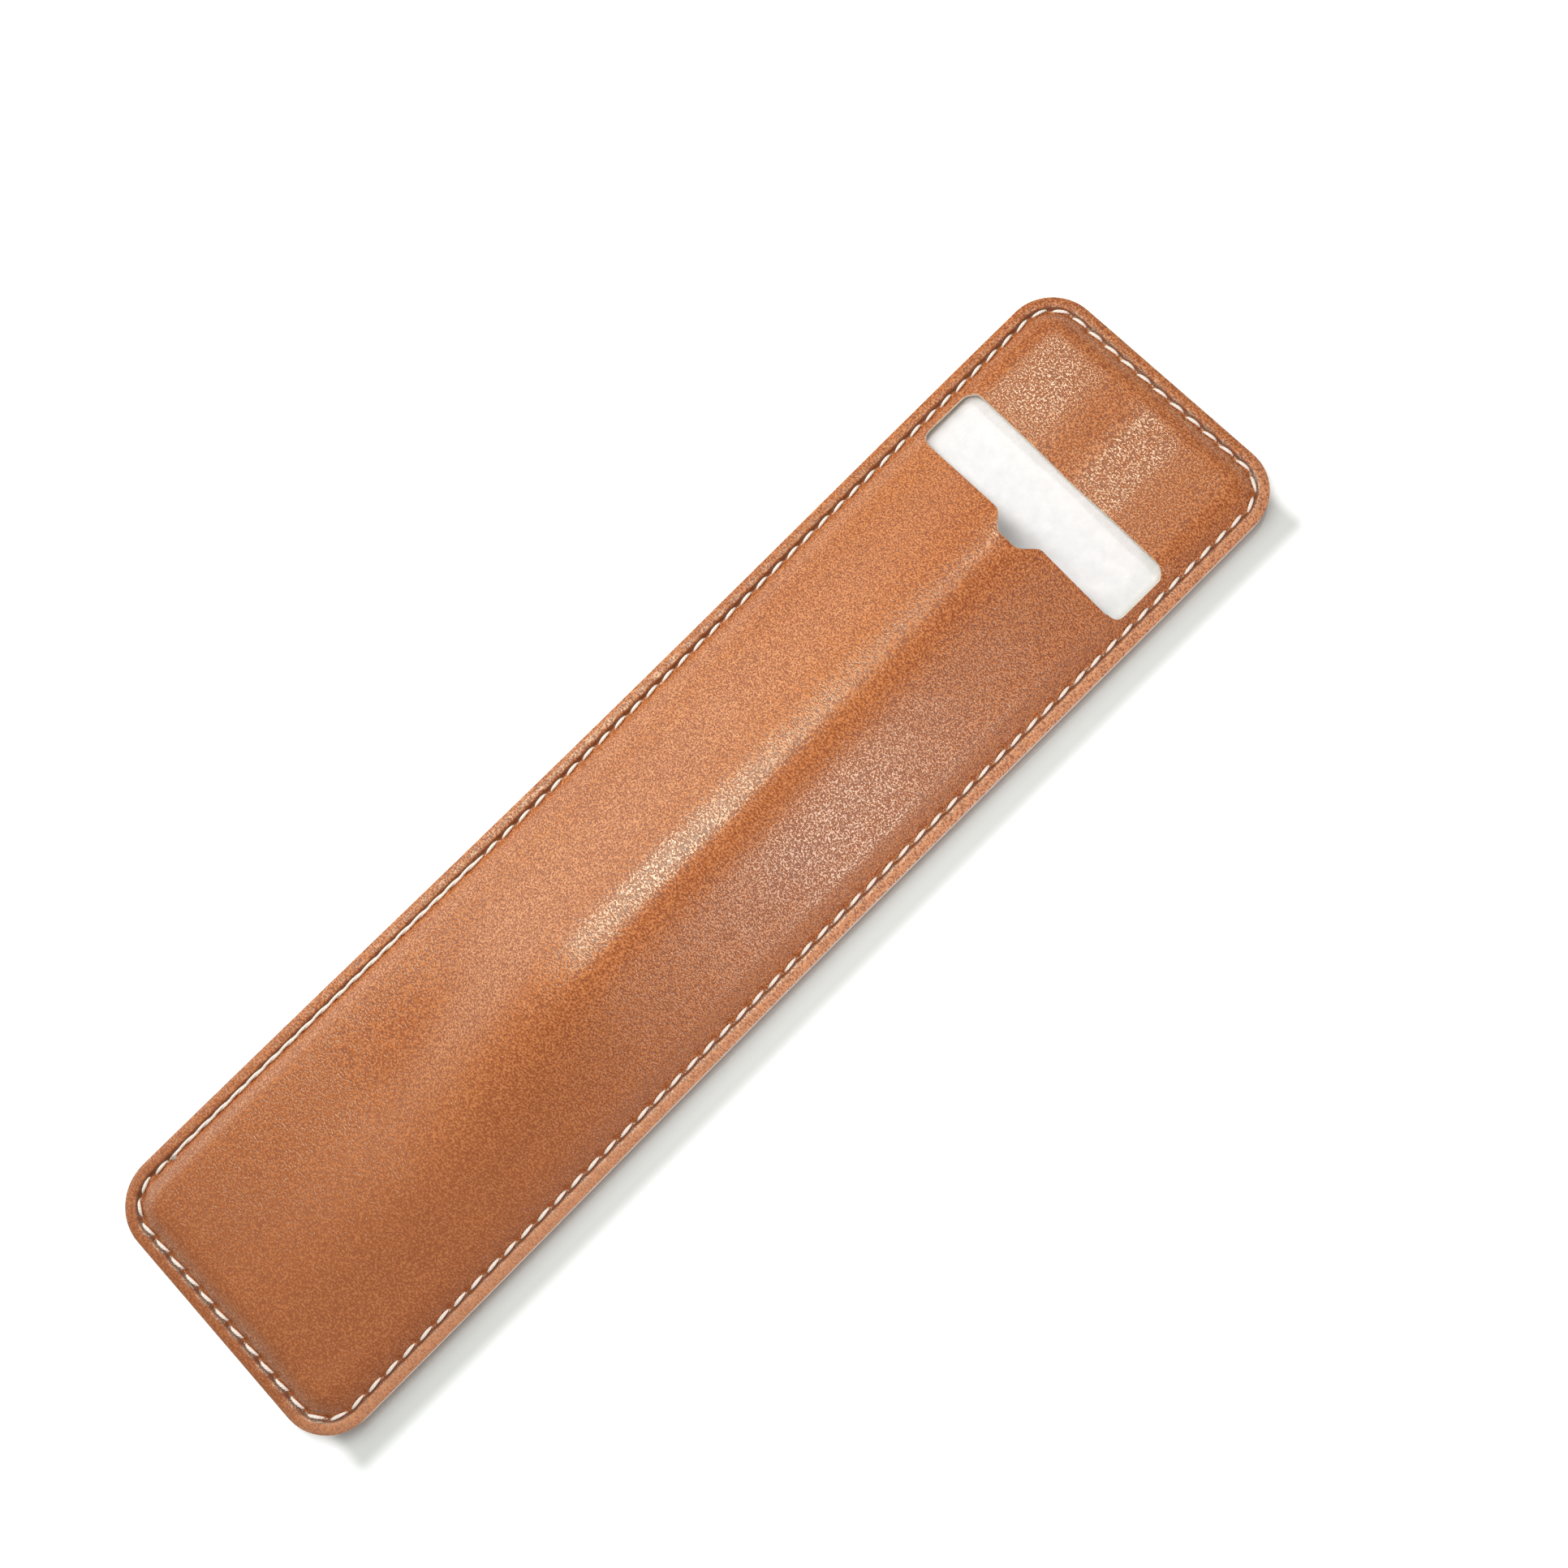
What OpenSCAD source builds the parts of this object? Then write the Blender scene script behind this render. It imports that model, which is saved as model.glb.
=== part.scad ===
// Slim leather pen case: a flat lined back and a formed front sewn together round the edge.
// A window near one end lets a pen in, under the notched lip and along the formed ridge.
// Millimetres. X across, Y along towards the window end, Z up, origin under the middle of the case.

/* [Case] */
// Length of the case
case_l = 173; // [150:1:200]
// Width of the case
case_w = 43; // [40:0.5:60]
// Radius of the outer corners
corner_r = 6.8; // [4.5:0.1:9]
// How far the long sides draw in at the middle, because the ridge pulls on them
waist = 0.35; // [0:0.05:1]

/* [Layers] */
// Thickness of the leather, front and back
leather_t = 0.8; // [0.6:0.1:1.4]
// Thickness of the cloth backing under the front leather
backing_t = 0.3; // [0.2:0.05:0.5]
// Thickness of the brushed lining on the back
lining_t = 0.45; // [0.3:0.05:0.8]
// Thickness of the stiffening board in the back
board_t = 0.5; // [0.3:0.05:1]
// How far the soft front stands off the lining, inside the seam
puff_h = 1.15; // [0.6:0.05:1.6]
// Distance over which the front rises from the seam
puff_run = 3.5; // [2.5:0.1:5]
// Swell of the front at the closed end, where the leather runs up to the ridge
swell_h = 3.2; // [0:0.1:4]

/* [Seam] */
// Distance from the edge to the seam
seam_inset = 2.05; // [1.8:0.05:3]
// Distance from one stitch to the next
stitch_pitch = 2.91; // [2.4:0.01:4]
// Length of a stitch that shows
stitch_l = 2.1; // [1.4:0.05:2.3]
// Diameter of the sewing thread
thread_d = 0.45; // [0.3:0.05:0.55]
// Turn of each front stitch from the run of the seam, in degrees
stitch_turn = 14; // [0:1:18]
// Width of the channel that the seam draws into the leather
channel_w = 0.9; // [0.8:0.05:1.2]
// Depth of the channel in the front leather
front_channel_h = 0.35; // [0.1:0.05:0.5]
// Depth of the channel in the back leather, a little more than the thread
back_channel_h = 0.5; // [0.45:0.05:0.6]
// Distance from the closed end to where the seam starts and ends, on the left side
seam_start = 11; // [10:1:20]
// Length that is sewn twice from there
seam_twice = 55; // [20:1:70]

/* [Window] */
// Width of the window
window_w = 35.8; // [30:0.2:36]
// Height of the window, along the case
window_h = 9.6; // [7:0.1:14]
// Radius of the window's corners
window_r = 1.7; // [1:0.1:2.4]
// Leather left between the window and the end of the case
window_strip = 19.4; // [14:0.2:24]
// How much nearer the closed end the window lies on its right side than on its left
window_lean = 0.9; // [0:0.1:1.2]
// How far the raised middle of the lip draws back
lip_draw = 2.2; // [0:0.1:3]
// Width of the thumb notch in the lip
notch_w = 8.4; // [6:0.1:12]
// Depth of the thumb notch
notch_h = 2.1; // [1:0.1:4]
// Place of the notch across the case, right of the middle
notch_x = 1.8; // [-2.5:0.1:2.5]

/* [Pen] */
// Thickness of the pen that the case is made for
pen_d = 10; // [8:0.1:11]
// Clearance over the pen
pen_clear = 0.3; // [0.2:0.05:1]
// How closely the leather hugs the pen before it runs out to the seam
ridge_hug = 1.45; // [1:0.05:2]
// Distance from the closed end to the tip of the ridge
ridge_start = 32; // [25:1:60]
// Length over which the ridge climbs to its full height
ridge_climb = 34; // [18:1:40]
// Place of the ridge across the case at the lip, right of the middle
ridge_lip_x = 0.8; // [-1.5:0.1:2]
// Place of the ridge across the case at its tip
ridge_tip_x = 3; // [-3:0.1:4]
// Depth of the rest that the pen leaves in the strip past the window
rest_h = 0.5; // [0:0.05:0.55]

/* [Hidden] */

// Heights of the layers
flange_z = leather_t + lining_t;
floor_z = flange_z + board_t;
crest_z = floor_z + pen_d + pen_clear;
// The channel's two edges, as insets
channel_out = seam_inset - channel_w / 2;
channel_in = seam_inset + channel_w / 2;
// Where the rising front is clear of the board's edge, and the gap that is left there
board_gap = 0.15;
step_inset = channel_in + board_gap
    + puff_run * (1 - sqrt(puff_h / (puff_h + board_t)));
board_inset = step_inset + lining_t + board_gap;
// The smallest corner radius of a ring inside the seam
inner_r = corner_r - seam_inset;
// Most of a narrow ring's half width that its corners may take
round_share = 0.8;

// Places along the case, from its middle
closed_end_y = -case_l / 2;
window_top_y = case_l / 2 - window_strip;
lip_y = window_top_y - window_h;
ridge_tip_y = closed_end_y + ridge_start;
// Half the width over which the ridge falls away to the seam
ridge_half_w = case_w / 2 - channel_in;
// The crest is rounded over the pen inside it
crest_bend_share = 0.76;
crest_bend = crest_bend_share * pen_d;
// The swell's middle and half sizes, as shares of the case
swell_x_share = 0.12;
swell_y_share = 0.24;
swell_w_share = 0.33;
swell_l_share = 0.265;
// Width of the rest in the strip, against the pen
rest_w_share = 0.75;
// Flat part in the middle of the notch, against its width
notch_flat_share = 0.1;

// Steps of the formed front: half the notch, the climb of the ridge
notch_steps = 4;
climb_steps = 6;
overrun = 5;

function held(t) = min(max(t, 0), 1);
function eased(t) = let (c = held(t)) c * c * (3 - 2 * c);
function mixed(a, b, t) = a + (b - a) * t;
function mixes(a, b, shares) = [for (s = shares) mixed(a, b, s)];

// The front is a net of points. Its rim is the ring that runs along the window's sides.
rim = (case_w - window_w) / 2;
rim_x = case_w / 2 - rim;
rim_y = case_l / 2 - rim;

// Columns of the net: the notch, and the flanks from there to the window's corners
flank_shares = [0.18, 0.38, 0.6, 0.8];
corner_columns = [rim_x - window_r, rim_x - window_r / 2, rim_x];
columns = concat(
    [for (i = [2:-1:0]) -corner_columns[i]],
    mixes(window_r - rim_x, notch_x - notch_w / 2, flank_shares),
    [for (i = [-notch_steps:notch_steps]) notch_x + notch_w / 2 * i / notch_steps],
    mixes(notch_x + notch_w / 2, rim_x - window_r, flank_shares),
    corner_columns
);

// Rows of the net, from the closed end to the window end. The window takes the gap in them.
ridge_top_y = ridge_tip_y + ridge_climb;
closed_end_shares = [0, 0.05, 0.14, 0.28, 0.46, 0.64, 0.83];
pocket_shares = [0.15, 0.35, 0.55, 0.72, 0.84, 0.93, 1];
strip_shares = [0, 0.22, 0.47, 0.7, 0.88, 1];
lower_rows = concat(
    mixes(-rim_y, ridge_tip_y, closed_end_shares),
    [for (i = [0:climb_steps]) mixed(ridge_tip_y, ridge_top_y, i / climb_steps)],
    mixes(ridge_top_y, lip_y, pocket_shares)
);
side_rows = [
    lip_y + window_r / 2, lip_y + window_r, window_top_y - window_r, window_top_y - window_r / 2
];
rows = concat(lower_rows, side_rows, mixes(window_top_y, rim_y, strip_shares));
lip_row = len(lower_rows) - 1;
strip_row = lip_row + len(side_rows) + 1;
last_column = len(columns) - 1;
last_row = len(rows) - 1;

// Corner radius of the ring at an inset from the outline
function ring_r(inset) = min(round_share * (case_w / 2 - inset), max(corner_r - inset, inner_r));

// Moves a point of a square-cornered frame of half sizes a and b onto one that is rounded by r,
// or onto another frame. The arc takes up the corner's two legs.
function on_leg(q, m, r, to_m, to_r) = let (s = abs(q) - m)
    s <= 0 ? abs(q) * to_m / m : to_m + to_r * sin(45 * s / r);
function off_leg(q, m, r, to_edge, to_r) = let (s = abs(q) - m)
    s <= 0 ? to_edge : to_edge - to_r + to_r * cos(45 * s / r);
function framed(p, a, b, r, to_a, to_b, to_r, upright) =
    let (
        x = upright ? off_leg(p[1], b - r, r, to_a, to_r) : on_leg(p[0], a - r, r, to_a - to_r, to_r),
        y = upright ? on_leg(p[1], b - r, r, to_b - to_r, to_r) : off_leg(p[0], a - r, r, to_b, to_r)
    )
    [sign(p[0]) * x, sign(p[1]) * y];

function on_ring(p, from, to, upright) = framed(
    p, case_w / 2 - from, case_l / 2 - from, ring_r(from),
    case_w / 2 - to, case_l / 2 - to, ring_r(to), upright
);

// Draws in the long sides, most at the middle and not at all at the corners
straight_y = case_l / 2 - corner_r;
function drawn(p) = abs(p[1]) >= straight_y ? p
    : [p[0] * (1 - 2 * waist / case_w * pow(cos(90 * p[1] / straight_y), 2)), p[1]];

// Walk round the rim of the net, anticlockwise, as [column, row]
rim_walk = concat(
    [for (j = [0:last_row - 1]) [last_column, j]],
    [for (i = [last_column:-1:1]) [i, last_row]],
    [for (j = [last_row:-1:1]) [0, j]],
    [for (i = [0:last_column - 1]) [i, 0]]
);
// Walk round the window, the same way
window_walk = concat(
    [for (j = [lip_row:strip_row - 1]) [last_column, j]],
    [for (i = [last_column:-1:1]) [i, strip_row]],
    [for (j = [strip_row:-1:lip_row + 1]) [0, j]],
    [for (i = [0:last_column - 1]) [i, lip_row]]
);

function upright(c) = c[0] == 0 || c[0] == last_column;
function ring(inset) = [for (c = rim_walk)
    drawn(on_ring([columns[c[0]], rows[c[1]]], rim, inset, upright(c)))];

// Place of the ridge's crest across the case
function crest_x(y) = mixed(ridge_tip_x, ridge_lip_x, held((y - ridge_tip_y) / (lip_y - ridge_tip_y)));

// Cross-section of the ridge: 1 at the crest, 0 at the seam, rounded over the pen and hollow
// where it runs out
function crest_fall(v) = sqrt(crest_bend * crest_bend + v * v) - crest_bend;
function ridge_section(x, y) =
    let (
        dx = x - crest_x(y),
        reach = dx > 0 ? ridge_half_w - crest_x(y) : ridge_half_w + crest_x(y)
    )
    pow(max(0, 1 - crest_fall(dx) / crest_fall(reach)), ridge_hug);

// Along the case the ridge climbs from its tip, and it ends at the lip
function ridge_run(y) = eased((y - ridge_tip_y) / ridge_climb) * (y > lip_y + window_r ? 0 : 1);

function swell(x, y) =
    let (
        u = (x - swell_x_share * case_w) / (swell_w_share * case_w),
        v = (y - closed_end_y - swell_y_share * case_l) / (swell_l_share * case_l)
    )
    swell_h * (1 - eased(sqrt(u * u + v * v)));

function pen_rest(x, y) = y < window_top_y - window_r ? 0
    : rest_h * (1 - eased(abs(x - ridge_lip_x) / (rest_w_share * pen_d)));

// Height of the front over the flange, at a ring's inset and a point of that ring. The swell
// gives way to the ridge as that climbs.
function rise(inset, p) =
    let (
        t = held((inset - channel_in) / puff_run),
        puff = (puff_h + board_t) * (1 - pow(1 - t, 2)),
        ridge_h = crest_z - flange_z - puff_h - board_t,
        run = ridge_run(p[1]),
        ridge = ridge_h * ridge_section(p[0], p[1]) * run,
        soft = swell(p[0], p[1]) * (1 - run) - pen_rest(p[0], p[1])
    )
    t == 0 ? 0 : puff + ridge + t * soft;

// Lip of the pocket: it draws back over the ridge, and has the thumb notch
function lip_dip(x) =
    let (side = 2 * abs(x - notch_x) / notch_w)
    lip_draw * ridge_section(x, lip_y)
    + notch_h * (1 - eased((side - notch_flat_share) / (1 - notch_flat_share)));

// How far the rows near the window follow its lip and its lean
lip_reach = 2 * notch_w;
function lip_follow(y) = y > lip_y ? 0 : 1 - held((lip_y - y) / lip_reach);
function lean_follow(y) = y > window_top_y ? 1 - held((y - window_top_y) / (rim_y - window_top_y))
    : y < lip_y ? eased(1 - (lip_y - y) / lip_reach) : 1;
function leaned(p) = [
    p[0],
    p[1] - window_lean * p[0] / window_w * lean_follow(p[1]) - lip_dip(p[0]) * lip_follow(p[1])
];

// A net point in plan: rounded with the case's corners, or with the window's on its edge
function net_inset(c) =
    min(case_w / 2 - abs(columns[c[0]]), case_l / 2 - abs(rows[c[1]]));
function net_point(c) =
    let (
        p = [columns[c[0]], rows[c[1]]],
        middle_y = (lip_y + window_top_y) / 2,
        on_window = c[1] >= lip_row && c[1] <= strip_row,
        a = window_w / 2,
        b = window_h / 2,
        inset = net_inset(c),
        q = framed([p[0], p[1] - middle_y], a, b, window_r, a, b, window_r,
            c[1] > lip_row && c[1] < strip_row),
        flat = on_window ? [q[0], q[1] + middle_y]
            : on_ring(p, inset, inset, case_w / 2 - abs(p[0]) <= case_l / 2 - abs(p[1]))
    )
    drawn(leaned(flat));
net = [for (j = [0:last_row]) [for (i = [0:last_column]) net_point([i, j])]];

function net_face(height) = [for (j = [0:last_row], i = [0:last_column])
    let (p = net[j][i]) [p[0], p[1], height(net_inset([i, j]), p)]];
function ring_face(insets, height) = [for (inset = insets, p = ring(inset))
    [p[0], p[1], height(inset, p)]];

// Insets of the rings outside the net, from the edge inwards
under_insets = [0, channel_in, step_inset];
edge_shares = [0, 0.15, 0.45, 0.8];
edge_drop_shares = [0.45, 0.15, 0, 0.1];
over_insets = concat(channel_out * edge_shares, [channel_out, channel_in, step_inset]);

function quad(a, b, c, d) = [[a, b, c], [a, c, d]];

// Faces between rings that run outwards in, and the rim of the net inside them
function ring_faces(first, count, net_first, up) =
    let (
        n = len(rim_walk),
        net_of = function (c) net_first + c[1] * (last_column + 1) + c[0],
        at = function (k, t) k == count ? net_of(rim_walk[t % n]) : first + k * n + t % n
    )
    [for (k = [0:count - 1], t = [0:n - 1])
        let (a = at(k, t), b = at(k, t + 1), c = at(k + 1, t + 1), d = at(k + 1, t))
        each up ? quad(a, d, c, b) : quad(a, b, c, d)];

function net_faces(first, up) = [for (j = [0:last_row - 1], i = [0:last_column - 1])
    if (j < lip_row || j >= strip_row)
        let (a = first + j * (last_column + 1) + i, b = a + 1, d = a + last_column + 1, c = d + 1)
        each up ? quad(a, d, c, b) : quad(a, b, c, d)];

// A formed sheet: its lower face, its upper face, the wall round it and the wall in the window
module formed_sheet(lower_insets, lower_z, upper_insets, upper_z) {
    n = len(rim_walk);
    net_count = (last_column + 1) * (last_row + 1);
    lower_rings = net_count;
    upper_net = lower_rings + len(lower_insets) * n;
    upper_rings = upper_net + net_count;
    edge_wall = [for (t = [0:n - 1])
        let (s = (t + 1) % n, low = lower_rings, high = upper_rings)
        each quad(low + t, high + t, high + s, low + s)];
    w = len(window_walk);
    window_at = [for (c = window_walk) c[1] * (last_column + 1) + c[0]];
    window_wall = [for (t = [0:w - 1])
        let (a = window_at[t], b = window_at[(t + 1) % w], c = upper_net + b, d = upper_net + a)
        each quad(a, b, c, d)];
    polyhedron(
        points = concat(
            net_face(lower_z), ring_face(lower_insets, lower_z),
            net_face(upper_z), ring_face(upper_insets, upper_z)
        ),
        faces = concat(
            net_faces(0, false), ring_faces(lower_rings, len(lower_insets), 0, false),
            net_faces(upper_net, true), ring_faces(upper_rings, len(upper_insets), upper_net, true),
            edge_wall, window_wall
        ),
        convexity = 6
    );
}

function backing_under_z(inset, p) = flange_z + rise(inset, p);
function backing_over_z(inset, p) = flange_z + backing_t + rise(inset, p);

// The leather's outer face is rounded at the edge and drawn down at the seam
edge_profile = concat(
    [for (i = [0:len(edge_shares) - 1]) [edge_shares[i] * channel_out, edge_drop_shares[i] * leather_t]],
    [[channel_out, front_channel_h], [channel_in, front_channel_h], [step_inset, 0]]
);
function leather_over_z(inset, p) =
    backing_over_z(inset, p) + leather_t - lookup(inset, edge_profile);

module sheet(inset, from_z, to_z) {
    translate([0, 0, from_z])
        linear_extrude(to_z - from_z) polygon(ring(inset));
}

// Run of the seam, clockwise from the left side's lower end: straights and arcs in turn
seam_a = case_w / 2 - seam_inset;
seam_b = case_l / 2 - seam_inset;
seam_side = 2 * (seam_b - inner_r);
seam_end = 2 * (seam_a - inner_r);
seam_arc = PI * inner_r / 2;
seam_half = seam_side + seam_end + 2 * seam_arc;
seam_count = round(2 * seam_half / stitch_pitch);
seam_pitch = 2 * seam_half / seam_count;

// Point of the seam at a distance along its first half, with its heading
function seam_half_point(s) =
    s < seam_side ? [-seam_a, s - seam_side / 2, 90]
    : s < seam_side + seam_arc
        ? let (t = (s - seam_side) / inner_r * 180 / PI)
            [inner_r - seam_a - inner_r * cos(t), seam_side / 2 + inner_r * sin(t), 90 - t]
    : s < seam_side + seam_arc + seam_end
        ? [s - seam_side - seam_arc - seam_end / 2, seam_b, 0]
        : let (t = (s - seam_side - seam_arc - seam_end) / inner_r * 180 / PI)
            [seam_a - inner_r + inner_r * sin(t), seam_side / 2 + inner_r * cos(t), -t];

function seam_point(s) =
    let (
        second = s >= seam_half,
        q = seam_half_point(second ? s - seam_half : s),
        p = drawn(second ? [-q[0], -q[1]] : [q[0], q[1]])
    )
    [p[0], p[1], second ? q[2] + 180 : q[2]];

// One stitch: a round thread that tapers into its holes
module stitch(length) {
    r = thread_d / 2;
    rotate([0, 90, 0])
        rotate_extrude($fn = 16)
            polygon([
                [0, -length / 2], [r / 2, -length / 2], [r, r - length / 2],
                [r, length / 2 - r], [r / 2, length / 2], [0, length / 2]
            ]);
}

// Stitches all round, at one height. The stretch sewn twice is nearly closed and leans less.
twice_turn_share = 0.25;
module stitches(z, turn) {
    twice_from = seam_start - seam_inset - inner_r;
    gap = thread_d / 2;
    for (i = [0:seam_count - 1]) {
        s = (i + 0.5) * seam_pitch;
        p = seam_point(s);
        doubled = s > twice_from && s < twice_from + seam_twice;
        translate([p[0], p[1], z])
            rotate(p[2] + (doubled ? twice_turn_share * turn : turn))
                stitch(doubled ? seam_pitch - gap : stitch_l);
    }
}

module back_leather() {
    color("sienna") difference() {
        sheet(0, 0, leather_t);
        difference() {
            sheet(channel_out, -overrun, back_channel_h);
            sheet(channel_in, -2 * overrun, leather_t);
        }
    }
}

module back_board() {
    color("burlywood") sheet(board_inset, leather_t, leather_t + board_t);
}

module back_lining() {
    color("whitesmoke") difference() {
        union() {
            sheet(0, leather_t, flange_z);
            sheet(step_inset, leather_t, floor_z);
        }
        sheet(board_inset, leather_t - overrun, leather_t + board_t);
    }
}

module front_backing() {
    color("ivory") formed_sheet(
        under_insets, function (i, p) backing_under_z(i, p),
        under_insets, function (i, p) backing_over_z(i, p)
    );
}

module front_leather() {
    color("peru") formed_sheet(
        under_insets, function (i, p) backing_over_z(i, p),
        over_insets, function (i, p) leather_over_z(i, p)
    );
}

module needle_thread() {
    z = flange_z + backing_t + leather_t - front_channel_h + thread_d / 2;
    color("linen") stitches(z, stitch_turn);
}

module bobbin_thread() {
    color("linen") stitches(back_channel_h - thread_d / 2, 0);
}

back_leather();
back_board();
back_lining();
front_backing();
front_leather();
needle_thread();
bobbin_thread();
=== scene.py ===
import math

import bpy
import numpy as np
from mathutils import Matrix, Vector, noise


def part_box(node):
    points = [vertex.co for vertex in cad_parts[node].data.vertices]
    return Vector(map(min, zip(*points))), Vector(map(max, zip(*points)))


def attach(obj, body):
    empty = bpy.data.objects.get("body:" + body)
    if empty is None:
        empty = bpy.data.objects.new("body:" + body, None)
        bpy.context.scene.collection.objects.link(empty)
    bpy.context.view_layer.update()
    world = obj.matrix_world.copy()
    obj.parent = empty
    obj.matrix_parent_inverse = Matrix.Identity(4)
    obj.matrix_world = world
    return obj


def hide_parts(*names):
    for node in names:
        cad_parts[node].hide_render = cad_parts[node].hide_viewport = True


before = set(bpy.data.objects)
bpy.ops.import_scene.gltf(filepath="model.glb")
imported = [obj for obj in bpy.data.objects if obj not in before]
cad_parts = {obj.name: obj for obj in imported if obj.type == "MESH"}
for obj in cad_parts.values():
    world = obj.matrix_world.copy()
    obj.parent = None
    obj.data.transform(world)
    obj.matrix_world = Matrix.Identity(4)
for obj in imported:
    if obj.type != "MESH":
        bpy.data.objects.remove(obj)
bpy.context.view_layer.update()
mm = 0.001            # the sheets are worked out in millimetres and made in metres
tiny = 1e-9           # below any real size, to tell a corner's points from those on its legs
touching = 1e-6       # points this near to a line count as on it
clearance = 0.01      # between sheets that lie on each other


def lowOf(node):
    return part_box(node)[0][2] / mm


def topOf(node):
    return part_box(node)[1][2] / mm


# Sizes in millimetres; those of the case and its layers are read off the parts of model.glb
backLow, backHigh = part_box("back_leather")
case = {
    "w": (backHigh[0] - backLow[0]) / mm,
    "l": (backHigh[1] - backLow[1]) / mm,
    "cornerR": 6.8,
    "waist": 0.35,            # how far each long side draws in at the middle
}
layers = {
    "leatherT": topOf("back_leather"),
    "boardT": topOf("back_board") - lowOf("back_board"),
    "flangeZ": lowOf("front_backing"),
    "backingT": lowOf("front_leather") - lowOf("front_backing"),
    "crestTop": topOf("front_leather"),
}
seam = {
    "inset": 2.05,
    "pitch": 2.91,
    "stitchL": 2.1,
    "threadD": 0.45,
    "turn": 7,                # lean of a front stitch off the run of the seam, in degrees
    "start": 11,              # from the closed end, on the left side
    "twice": 55,              # length that is sewn twice from there
    "twiceTurn": 0.25,        # share of the lean that is left where it is sewn twice
    "pull": 0.15,             # share of the pitch over which the thread swings to its side
}
window = {
    "w": 35.8,
    "h": 9.6,
    "r": 1.7,
    "strip": 19.4,            # leather left between the window and the end
    "lean": 0.9,
    "draw": 2.2,              # how far the raised middle of the lip draws back
    "notchW": 8.4,
    "notchH": 2.1,
    "notchX": 1.8,            # the notch and the ridge sit right of the middle
    "notchFlat": 0.3,         # flat bottom of the notch and the run of its sides,
    "notchSide": 0.65,        # as shares of half its width
    "bevel": (0.22, -0.15),   # how far the cut leans, on the lip's side and on the strip's
    "bevelFacing": (0.8, 0.4),          # how much the cut's run across and along tells its side
    "bevelBlend": 0.6,
}
ridge = {
    "start": 32,
    "climb": 34,
    "lipX": 0.8,
    "tipX": 3,
    "bend": 7.6,              # roundness of the crest
    "hug": 1.45,              # how closely the leather falls in beside the crest
    "puffH": 1.15,
    "puffRun": 3.5,
    "puffStart": 2.5,
    "swellH": 3.2,            # soft run-up to the ridge at the closed end
    "swellAt": (5.16, -44.98),
    "swellSize": (14.19, 45.85),
    "hollowH": 0.5,           # shallow hollow in the strip, in line with the ridge
    "hollowW": 7.5,
}

halfW, halfL = case["w"] / 2, case["l"] / 2
rim = halfW - window["w"] / 2            # inset of the ring along the window's sides
rimR = case["cornerR"] - rim
rimX, rimY = halfW - rim, halfL - rim
straightX, straightY = rimX - rimR, rimY - rimR
windowTop = halfL - window["strip"]
lipY = windowTop - window["h"]
tipY = ridge["start"] - halfL
skinZ = layers["flangeZ"] + layers["backingT"]
ridgeH = layers["crestTop"] - layers["leatherT"] - skinZ - ridge["puffH"] - layers["boardT"]


# Form of the case, as functions of a place on it

def eased(t):
    t = np.clip(t, 0, 1)
    return t * t * (3 - 2 * t)


def insetAt(x, y):
    r = case["cornerR"]
    u, v = np.abs(x) - halfW + r, np.abs(y) - halfL + r
    return r - np.hypot(np.maximum(u, 0), np.maximum(v, 0)) - np.minimum(np.maximum(u, v), 0)


def drawnIn(x, y):
    pull = np.where(np.abs(y) < straightY, np.cos(math.pi / 2 * y / straightY) ** 2, 0)
    return x * (1 - 2 * case["waist"] / case["w"] * pull)


def crestX(y):
    t = np.clip((y - tipY) / (lipY - tipY), 0, 1)
    return ridge["tipX"] + (ridge["lipX"] - ridge["tipX"]) * t


def ridgeSection(x, y):
    # height across the ridge, from 1 on the crest to 0 at the seam
    bend = ridge["bend"]
    def fall(v):
        return np.sqrt(bend * bend + v * v) - bend
    dx = x - crestX(y)
    reach = halfW - ridge["puffStart"] - np.sign(dx) * crestX(y)
    return np.maximum(0, 1 - fall(dx) / fall(reach)) ** ridge["hug"]


def ridgeRun(y):
    return eased((y - tipY) / ridge["climb"]) * (1 - eased((y - lipY) / window["h"]))


def swell(x, y):
    u = (x - ridge["swellAt"][0]) / ridge["swellSize"][0]
    v = (y - ridge["swellAt"][1]) / ridge["swellSize"][1]
    return ridge["swellH"] * (1 - eased(np.hypot(u, v)))


def stripHollow(x, y):
    edge = eased((y - windowTop + window["r"]) / window["r"])
    return edge * ridge["hollowH"] * (1 - eased(np.abs(x - ridge["lipX"]) / ridge["hollowW"]))


def riseAt(x, y, inset):
    t = np.clip((inset - ridge["puffStart"]) / ridge["puffRun"], 0, 1)
    puff = (ridge["puffH"] + layers["boardT"]) * (1 - (1 - t) ** 2)
    run = ridgeRun(y)
    soft = swell(x, y) * (1 - run) - stripHollow(x, y)
    return puff + t * soft + ridgeH * ridgeSection(x, y) * run * (t > 0)


def lipDip(x):
    side = 2 * np.abs(x - window["notchX"]) / window["notchW"]
    notch = 1 - eased((side - window["notchFlat"]) / window["notchSide"])
    return window["draw"] * ridgeSection(x, lipY) + window["notchH"] * notch


def leaned(x, y):
    # the window leans and its lip dips, and the net follows for two widths of the notch
    reach = 2 * window["notchW"]
    follow = np.where(y > lipY, 0, 1 - np.clip((lipY - y) / reach, 0, 1))
    lean = np.where(y > windowTop, 1 - np.clip((y - windowTop) / (rimY - windowTop), 0, 1),
                    np.where(y < lipY, eased(1 - (lipY - y) / reach), 1))
    return y - window["lean"] * x / window["w"] * lean - lipDip(x) * follow


# Each sheet is a net of points inside rings that follow the outline. The net has square
# corners in its own lines, and they are rounded as it is laid out.

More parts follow.
